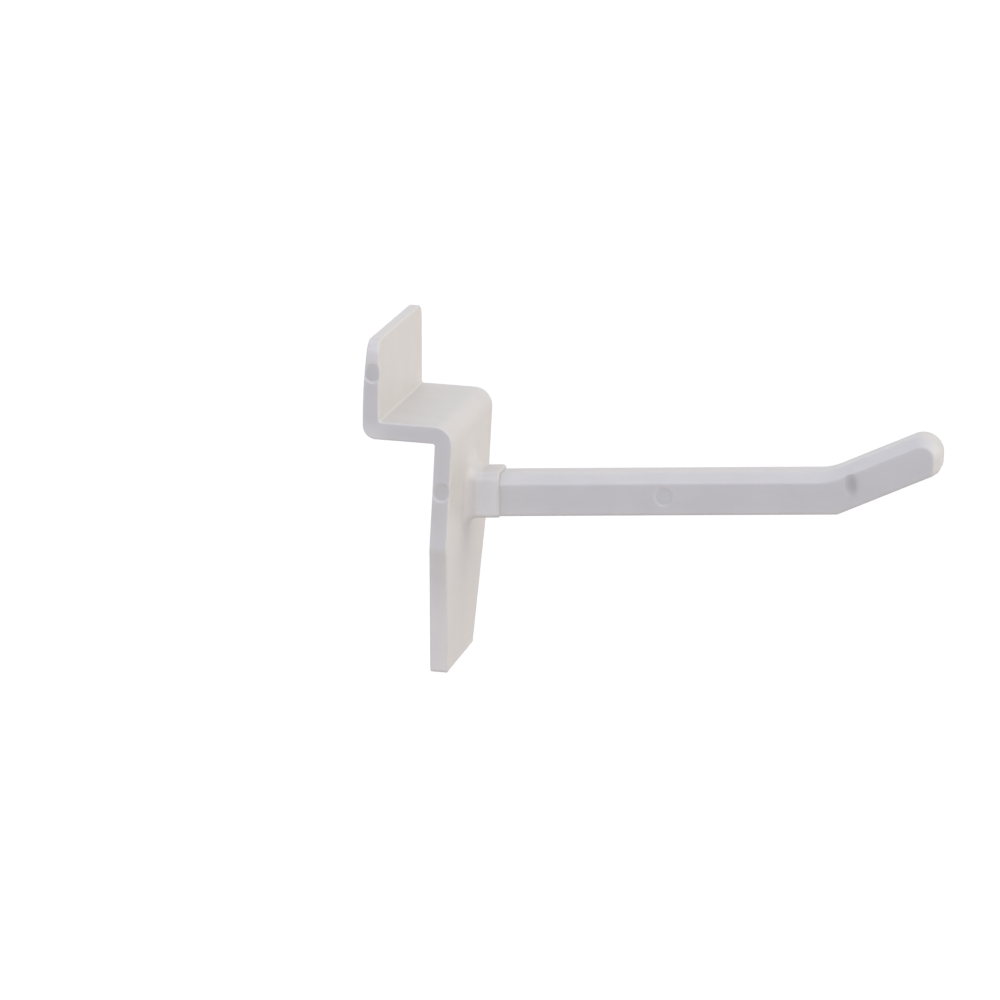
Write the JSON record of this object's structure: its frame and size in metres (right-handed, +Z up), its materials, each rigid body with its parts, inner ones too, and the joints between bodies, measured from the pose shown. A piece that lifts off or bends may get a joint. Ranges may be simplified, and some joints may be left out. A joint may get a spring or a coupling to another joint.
{
  "type": "display hook",
  "caption": "Moulded plastic hook for slotted display panels: a shelf and a turned-up lip hold it in the slot, and a sloping arm with an upturned tip carries hanging goods.",
  "frame": {"origin": "centre of the plate's flat back, midway across it and midway between its foot and the underside of the shelf, on the face of the panel", "axes": "+X out of the panel along the arm, +Y across the hook, +Z up the panel"},
  "size_m": [0.0891, 0.04, 0.0533],
  "materials": {
    "white_plastic": "satin, milky white, as moulded"
  },
  "bodies": {
    "root": {"slatwall_hook": "white_plastic"}
  },
  "joints": []
}
